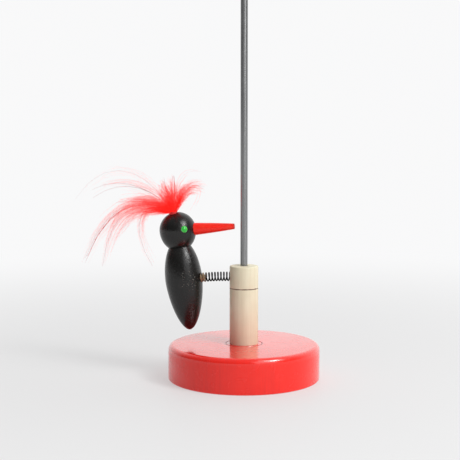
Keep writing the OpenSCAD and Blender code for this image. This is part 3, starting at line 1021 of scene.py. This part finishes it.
class WOODPECKER_OT_eyes(bpy.types.Operator):
    """Two domed green eyes, each on its pin"""

    bl_idname = "woodpecker.eyes"
    bl_label = "Eyes"

    def execute(self, context):
        bird = context.scene.woodpecker_bird
        fit = context.scene.woodpecker_stand.fit
        r = bird.eye_width / 2
        rim = math.sqrt(bird.head_radius**2 - r**2)
        ball = (r**2 + bird.eye_dome**2) / (2 * bird.eye_dome)
        edge = math.degrees(math.asin(r / ball))
        seat = bird.head_radius - bird.eye_sunk
        pin = bird.eye_pin / 2
        pin_end = seat - bird.eye_pin_length + fit
        for side, name, node in ((1, "eye_button_left", "eye_left"), (-1, "eye_button_right", "eye_right")):
            outline = [(0.0, pin_end), (pin, pin_end), (pin, seat), (r, seat)]
            outline += arc((0.0, rim + bird.eye_dome - ball), ball, 90 - edge, 90, 14)
            outline[-1] = (0.0, rim + bird.eye_dome)
            eye = new_piece(turned(outline, eye_place(side), steps=48), name)
            smooth(eye, 40)
            dress(eye, eye_paint(side), [node])
            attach(eye, "bird")
        return {"FINISHED"}


# ---- crest ----

# A lock of feather: its CAD node and its name. Next its foot and, from there, the three other control
# points of its middle line, in millimetres. Then half its width and half its thickness, how many barbs and
# quills it has, how far its tips fan out and in how many tufts, how full its down is, and how stout its
# barbs are.
LOCKS = (
    ("plume_rear_low", "rear_low",
     (-1.7, 0.2, 0), (-8, 1, 7), (-33, 2, 14), (-49, 3, -26),
     5.0, 3.5, 150, 5, 8.5, 2, 1.35, 1.0),
    ("plume_rear_low", "rear_short",
     (-1.7, -0.2, 0), (-6, 0, 3), (-15, 1, 9), (-29, 2, 4),
     5.2, 3.8, 130, 5, 6.5, 7, 0.8, 0.85),
    ("plume_rear_high", "rear_high",
     (-1.2, 1.2, 0), (-6, 4, 12), (-27, 12, 26), (-51, 16, 15),
     2.2, 2.0, 16, 2, 4.0, 3, 0.9, 0.85),
    ("plume_rear_top", "rear_top",
     (-0.9, -1, 0), (-4, -4, 19), (-27, -12, 44), (-53, -15, 9),
     2.6, 2.5, 9, 1, 4.0, 3, 0.6, 0.32),
    ("plume_upright_rear", "upright_rear",
     (-0.2, 0.3, 0), (-1, 1, 7), (-3, 3, 12), (-6, 4, 18),
     4.8, 3.4, 150, 5, 5.0, 4, 0.8, 0.85),
    ("plume_upright_front", "upright_front",
     (0.5, -0.6, 0), (1, -1, 8), (2, -2, 14), (3, -3, 21),
     2.8, 2.0, 44, 3, 1.5, 2, 1.0, 0.9),
    ("plume_front_curl", "front_curl",
     (1.8, 0, 0), (5, 1, 10), (9, 2, 17), (18, 2, 10),
     3.0, 2.4, 60, 3, 3.4, 4, 1.0, 0.8),
    ("plume_front_curl", "front_strays",
     (1.6, -1, 0), (2, -3, 24), (16, -7, 32), (38, -8, 4),
     0.8, 0.6, 3, 0, 2.0, 2, 0.3, 1.0),
    ("plume_front_curl", "front_loop",
     (1.6, -1, 0), (12, -4, 22), (26, -7, 12), (8, -9, -3),
     0.8, 0.6, 3, 0, 1.5, 2, 0.4, 1.0),
    ("plume_nape", "nape",
     (-1.2, -1.6, 0), (-12, -7, 9), (-21, -13, -2), (-10, -11, -28),
     1.8, 1.5, 22, 1, 3.0, 3, 0.9, 0.7),
    ("plume_side_left", "side_left",
     (0.7, 1.7, 0), (1, 6, 6), (2, 13, 15), (3, 21, 12),
     2.4, 2.2, 60, 2, 2.5, 3, 0.9, 0.9),
    ("plume_side_right", "side_right",
     (0.8, -1.8, 0), (2, -6, 5), (3, -12, 13), (4, -20, 9),
     2.4, 2.0, 24, 1, 2.5, 3, 0.9, 0.7),
    ("plume_upright_rear", "ruff",
     (-0.4, -0.4, -0.6), (-1.5, -1.0, 2.2), (-3.5, -1.2, 4.5), (-7, -1, 8),
     3.4, 3.2, 170, 0, 9.0, 60, 0.6, 0.9),
)


def cubic(points, t):
    """Points on a cubic curve at the values t."""
    t = t[..., None]
    u = 1 - t
    return u**3 * points[0] + 3 * t * u**2 * points[1] + 3 * t**2 * u * points[2] + t**3 * points[3]


def unit(vectors):
    """The vectors at length 1."""
    return vectors / np.linalg.norm(vectors, axis=-1, keepdims=True)


# Hairs of down on a barb, and rings of points along its stem.
BARB_HAIRS = 44
BARB_RINGS = 8
# How far a barb strays from a straight course, how far from its foot a lock takes to swell,
# and how far from its foot its dye has faded.
BARB_WAVE = 0.55 * MM
LOCK_SWELL = 7.0 * MM
DYE_FADE = 40.0 * MM


def barb_shape(hair_width, chance):
    """A straight barb of length 1 up +Z: a three-sided stem of radius 1, with hairs out to radius 2."""
    bm = bmesh.new()
    bmesh.ops.create_circle(bm, cap_ends=False, radius=1.0, segments=3)
    rim = bm.edges[:]
    for _ in range(BARB_RINGS):
        grown = bmesh.ops.extrude_edge_only(bm, edges=rim)["geom"]
        rim = [e for e in grown if isinstance(e, bmesh.types.BMEdge)]
        verts = [v for v in grown if isinstance(v, bmesh.types.BMVert)]
        bmesh.ops.translate(bm, vec=(0.0, 0.0, 1.0 / BARB_RINGS), verts=verts)
    for k in range(BARB_HAIRS):
        at = 0.10 + 0.88 * (k + chance.random()) / BARB_HAIRS
        way = chance.random() * math.tau
        side = Vector((math.cos(way), math.sin(way), 0.0))
        sweep = 0.028 + 0.03 * chance.random()
        corners = [side * 0.9 + Vector((0, 0, at)), side * 0.9 + Vector((0, 0, at + hair_width))]
        corners.append(side * (1.55 + 0.45 * chance.random()) + Vector((0, 0, at + sweep)))
        bm.faces.new([bm.verts.new(c) for c in corners])
    mesh = bpy.data.meshes.new("barb shape")
    bm.to_mesh(mesh)
    bm.free()
    return mesh


class WOODPECKER_OT_crest(bpy.types.Operator):
    """Locks of dyed feather, each a bunch of quills and downy barbs, and the finish of the binding"""

    bl_idname = "woodpecker.crest"
    bl_label = "Crest"

    def execute(self, context):
        for number, lock in enumerate(LOCKS):
            self.make_lock(lock, number)
        paint_node("crest_binding", bound_thread())
        return {"FINISHED"}

    def make_lock(self, lock, number):
        """One lock: copies of a barb, laid along the lock's middle line and spread out round it."""
        crest = bpy.context.scene.woodpecker_crest
        node, name, foot, lift, knee, tip, half_w, half_t, barbs, quills, fan, tufts, fullness, stout = lock
        foot = np.array(foot, float)
        line = np.array([foot, foot + lift, foot + knee, foot + tip]) * MM
        chance = np.random.default_rng(crest.seed + 31 * number)
        count = barbs + quills
        span = np.linalg.norm(line[3] - line[0])
        shape = barb_shape(crest.down_width / span, chance)
        bm = bmesh.new()
        for _ in range(count):
            bm.from_mesh(shape)
        mesh = bpy.data.meshes.new("feather_" + name)
        bm.to_mesh(mesh)
        bm.free()
        corners = np.empty(len(shape.vertices) * 3)
        shape.vertices.foreach_get("co", corners)
        corners = corners.reshape(-1, 3)
        bpy.data.meshes.remove(shape)

        # Each barb: where it leaves and ends on the line, its place in the lock, and the tip it runs to.
        quill = np.arange(count) < quills
        leave = np.where(quill, 0.0, np.maximum(0.0, chance.random(count) - 0.6) * 1.1)
        end = leave + (1 - leave) * (0.28 + 0.72 * chance.random(count) ** 0.8)
        end = np.where(quill, 0.94 + 0.06 * chance.random(count), end)
        way = chance.random(count) * math.tau
        out = np.sqrt(chance.random(count)) * np.where(quill, 0.45, 1.0)
        tuft = chance.integers(0, tufts, count)
        tip_way = chance.random() * math.tau + tuft * math.tau / tufts
        wave = chance.normal(0.0, BARB_WAVE, (count, 2))
        beat = 1.0 + chance.random(count) * 1.6
        twist = chance.random(count) * math.tau
        thick = np.where(quill, crest.quill, crest.barb * (0.6 + 0.6 * chance.random(count))) * stout / 2
        down = crest.down * fullness * (0.6 + 0.7 * chance.random(count)) * np.where(quill, 0.35, 1.0)

        along = corners[None, :, 2]
        t = np.clip(leave[:, None] + (end - leave)[:, None] * along, 0.0, 1.0)
        middle = cubic(line, t)
        nudge = 0.01
        ahead = unit(cubic(line, np.minimum(t + nudge, 1.0)) - cubic(line, np.maximum(t - nudge, 0.0)))
        across = unit(np.array([-tip[1], tip[0], 0.0]))
        wide = unit(np.cross(across, ahead))
        thin = unit(np.cross(ahead, wide))
        ease = np.sin(np.minimum(along * 1.6, 1.0) * math.pi / 2)
        clump = 1.0 - 0.6 * t**2.5
        rise = 1.0 - np.exp(-t * span / LOCK_SWELL)
        width = (1.1 + half_w * 1.15 * rise) * MM * clump * np.maximum(ease, 0.6)
        depth = (1.1 + half_t * 1.10 * rise) * MM * clump * np.maximum(ease, 0.6)
        sway = np.sin(along * math.pi * beat[:, None]) * along
        spread = fan * MM * t**2.2
        a = width * (out * np.cos(way))[:, None] + spread * np.cos(tip_way)[:, None] * 0.8
        b = depth * (out * np.sin(way))[:, None] + spread * np.sin(tip_way)[:, None] * 0.5
        a = a + wave[:, 0:1] * sway
        b = b + wave[:, 1:2] * sway
        centre = middle + a[..., None] * wide + b[..., None] * thin

        ring = np.hypot(corners[:, 0], corners[:, 1])[None, :]
        around = np.arctan2(corners[:, 1], corners[:, 0])[None, :] + twist[:, None]
        stem = thick[:, None] * (1.0 - 0.72 * along)
        fluff = down[:, None] * np.sin(math.pi * np.clip(along, 0, 1) ** 0.75) ** 0.6
        radius = stem * np.minimum(ring, 1.0) + fluff * np.maximum(ring - 1.0, 0.0)
        spot = centre + radius[..., None] * (
            np.cos(around)[..., None] * wide + np.sin(around)[..., None] * thin
        )
        place = np.array(crest_place())
        spot = spot @ place[:3, :3].T + place[:3, 3]
        mesh.vertices.foreach_set("co", spot.reshape(-1))
        reach = mesh.attributes.new("reach", "FLOAT", "POINT")
        reach.data.foreach_set("value", np.minimum(t * span / DYE_FADE, 1.0).reshape(-1))
        tone = np.where(quill, 1.0, np.clip(chance.normal(0.06, 0.24, count), 0.0, 0.7))
        shade = mesh.attributes.new("tone", "FLOAT", "POINT")
        shade.data.foreach_set("value", np.repeat(tone, len(corners)))
        mesh.update()
        piece = bpy.data.objects.new(mesh.name, mesh)
        bpy.context.scene.collection.objects.link(piece)
        smooth(piece, 180)
        dress(piece, feather(), [node])
        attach(piece, "bird")


# ---- studio ----


# Each soft light: its name, its place, its width and height, and the property that holds its power.
LIGHTS = (
    ("key", (0.70, -0.34, 1.02), (0.60, 0.44), "key_power"),
    ("window", (0.84, -0.44, 0.80), (0.30, 0.30), "window_power"),
    ("front", (0.95, -1.00, 0.60), (0.90, 0.90), "front_power"),
)
TOY_MIDDLE = Vector((-0.01, 0.0, 0.06))


class WOODPECKER_OT_camera(bpy.types.Operator):
    """Camera in front and a little to the right, that looks slightly down on the bird"""

    bl_idname = "woodpecker.camera"
    bl_label = "Camera"

    def execute(self, context):
        studio = context.scene.woodpecker_studio
        camera = bpy.data.objects.new("camera", bpy.data.cameras.new("camera"))
        context.scene.collection.objects.link(camera)
        camera.data.lens = studio.lens
        camera.data.sensor_width = 36.0
        camera.data.clip_start = 0.01
        camera.data.clip_end = 50.0
        swing = Matrix.Rotation(studio.swing, 3, "Z")
        camera.location = swing @ Vector((-studio.aside, -studio.distance, studio.height))
        camera.rotation_euler = (math.radians(90) - studio.tilt, 0.0, studio.swing)
        context.scene.camera = camera
        return {"FINISHED"}


class WOODPECKER_OT_studio(bpy.types.Operator):
    """Pale floor that fades into white surroundings, and three soft lights at the right and in front"""

    bl_idname = "woodpecker.studio"
    bl_label = "Studio"

    def execute(self, context):
        context.scene.view_settings.view_transform = "Standard"
        self.make_floor()
        self.make_surroundings()
        for name, place, size, strength in LIGHTS:
            self.make_light(name, Vector(place), size, getattr(context.scene.woodpecker_studio, strength))
        return {"FINISHED"}

    def make_floor(self):
        """A wide round floor that glows a little near the toy and as white as the surroundings far away."""
        studio = bpy.context.scene.woodpecker_studio
        bm = bmesh.new()
        bmesh.ops.create_circle(bm, cap_ends=True, radius=12.0, segments=96)
        floor = new_piece(bm, "floor")
        material, tree, shader, spot = new_material("floor")
        away = vector_maths(tree, "LENGTH", spot)
        cloud = ramp(tree, noise(tree, spot, 9.0, 3.0), 0.3, 0.7, 0.0, 0.03)
        tree.links.new(mix(tree, cloud, studio.floor, (0.62, 0.63, 0.64)), shader.inputs["Base Color"])
        shader.inputs["Roughness"].default_value = 0.55
        shader.inputs["Specular IOR Level"].default_value = 0.3
        glow = add(tree, "ShaderNodeEmission", {"Color": rgba(studio.backdrop), "Strength": 1.0})
        far = ramp(tree, away, 0.05, 0.60, 0.46, 1.0)
        blend = add(tree, "ShaderNodeMixShader", {0: far, 1: shader.outputs[0], 2: glow.outputs[0]})
        output = tree.nodes["Material Output"]
        tree.links.new(blend.outputs[0], output.inputs["Surface"])
        floor.data.materials.append(material)

    def make_surroundings(self):
        """White surroundings for the camera; their light is brighter from the right, the back and above."""
        studio = bpy.context.scene.woodpecker_studio
        world = bpy.data.worlds.new("surroundings")
        bpy.context.scene.world = world
        world.use_nodes = True
        tree = world.node_tree
        way = tree.nodes.new("ShaderNodeTexCoord").outputs["Generated"]
        axes = add(tree, "ShaderNodeSeparateXYZ", {0: way}).outputs
        light = maths(tree, "ADD", 0.14, ramp(tree, axes["X"], -0.7, 0.95, 0.0, 0.12))
        light = maths(tree, "ADD", light, ramp(tree, axes["Y"], -0.1, 0.8, 0.0, 0.78))
        light = maths(tree, "ADD", light, ramp(tree, axes["Z"], 0.25, 0.95, 0.0, 0.20))
        white = {"Color": rgba((1.0, 1.0, 1.0)), "Strength": light}
        room = add(tree, "ShaderNodeBackground", white).outputs[0]
        backdrop = {"Color": rgba(studio.backdrop), "Strength": 1.0}
        seen = add(tree, "ShaderNodeBackground", backdrop).outputs[0]
        to_camera = tree.nodes.new("ShaderNodeLightPath").outputs["Is Camera Ray"]
        blend = add(tree, "ShaderNodeMixShader", {0: to_camera, 1: room, 2: seen}).outputs[0]
        output = next(n for n in tree.nodes if n.type == "OUTPUT_WORLD")
        tree.links.new(blend, output.inputs["Surface"])

    def make_light(self, name, place, size, watts):
        """A soft light, so wide and so tall, that looks at the middle of the toy."""
        light = bpy.data.objects.new(name, bpy.data.lights.new(name, "AREA"))
        light.data.shape = "RECTANGLE"
        light.data.size = size[0]
        light.data.size_y = size[1]
        light.data.energy = watts
        light.location = place
        light.rotation_euler = (place - TOY_MIDDLE).to_track_quat("Z", "Y").to_euler()
        bpy.context.scene.collection.objects.link(light)


# ---- add-on ----

PIECES = (
    WOODPECKER_OT_camera,
    WOODPECKER_OT_base_disc,
    WOODPECKER_OT_post_and_slider,
    WOODPECKER_OT_rod_and_knob,
    WOODPECKER_OT_spring,
    WOODPECKER_OT_body,
    WOODPECKER_OT_head,
    WOODPECKER_OT_beak,
    WOODPECKER_OT_eyes,
    WOODPECKER_OT_crest,
    WOODPECKER_OT_studio,
)
GROUPS = {
    "woodpecker_stand": WOODPECKER_PG_stand,
    "woodpecker_spring": WOODPECKER_PG_spring,
    "woodpecker_bird": WOODPECKER_PG_bird,
    "woodpecker_crest": WOODPECKER_PG_crest,
    "woodpecker_studio": WOODPECKER_PG_studio,
}


class WOODPECKER_PT_sidebar(bpy.types.Panel):
    """Sizes, colours and pieces of the woodpecker"""

    bl_idname = "WOODPECKER_PT_sidebar"
    bl_label = "Pecking Woodpecker"
    bl_space_type = "VIEW_3D"
    bl_region_type = "UI"
    bl_category = "Woodpecker"

    def draw(self, context):
        for name, group in GROUPS.items():
            box = self.layout.box()
            for prop in group.__annotations__:
                box.prop(getattr(context.scene, name), prop)
        for piece in PIECES:
            self.layout.operator(piece.bl_idname)


def register():
    for name, group in GROUPS.items():
        bpy.utils.register_class(group)
        setattr(bpy.types.Scene, name, PointerProperty(type=group))
    for piece in PIECES:
        bpy.utils.register_class(piece)
    bpy.utils.register_class(WOODPECKER_PT_sidebar)


def unregister():
    bpy.utils.unregister_class(WOODPECKER_PT_sidebar)
    for piece in reversed(PIECES):
        bpy.utils.unregister_class(piece)
    for name, group in reversed(GROUPS.items()):
        delattr(bpy.types.Scene, name)
        bpy.utils.unregister_class(group)


def main():
    register()
    for piece in PIECES:
        family, name = piece.bl_idname.split(".")
        getattr(getattr(bpy.ops, family), name)()


if __name__ == "__main__":
    main()
